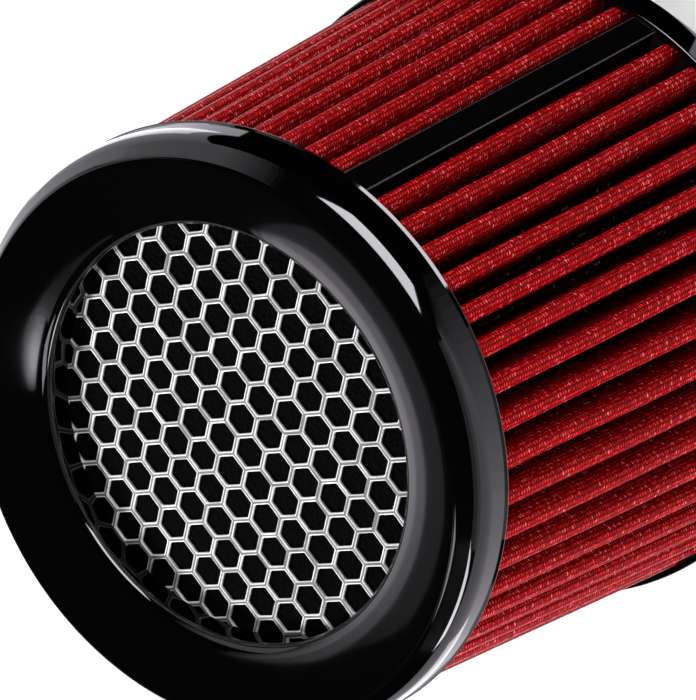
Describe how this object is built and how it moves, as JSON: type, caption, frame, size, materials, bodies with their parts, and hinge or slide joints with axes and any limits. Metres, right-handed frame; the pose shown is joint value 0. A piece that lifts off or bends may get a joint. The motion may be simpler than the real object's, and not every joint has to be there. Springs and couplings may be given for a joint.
{
  "type": "cone air filter",
  "caption": "Cone-shaped engine air filter: red pleated gauze between a bell-mouthed black cap with a hexagonal grille and a base cap with a clamped rubber inlet neck.",
  "frame": {"origin": "centre of the inlet neck's free end, on which the filter stands", "axes": "+Z along the filter's axis, from the inlet neck towards the bell-mouth; the seam clip is on the side of -Y and +X, and the clamp's screw is on the +Y side"},
  "size_m": [0.151, 0.151, 0.1693],
  "materials": {
    "cap_plastic": "gloss moulded black",
    "grille_aluminium": "bright silver",
    "pad_foam": "matte open-cell foam",
    "ring_plastic": "matte black",
    "potting": "cast polyurethane",
    "red_gauze": "oiled woven gauze",
    "clip_plastic": "satin black",
    "neck_rubber": "satin black rubber",
    "clamp_steel": "bright stainless strip",
    "screw_steel": "zinc-plated"
  },
  "bodies": {
    "filter": {"top_cap": "cap_plastic", "hex_grille": "grille_aluminium", "front_pad": "pad_foam", "retaining_ring": "ring_plastic", "top_seal": "potting", "pleated_media": "red_gauze", "seam_clip": "clip_plastic", "base_seal": "potting", "base_cap": "cap_plastic", "inlet_neck": "neck_rubber", "clamp_band": "clamp_steel", "clamp_housing": "clamp_steel"},
    "clamp_screw": {"clamp_screw": "screw_steel"}
  },
  "joints": [
    {"name": "clamp_screw_turn", "type": "hinge", "parent": "filter", "child": "clamp_screw", "pos_m": [0, 0.04725, 0.015], "axis": [-1, 0, 0], "continuous": true}
  ]
}
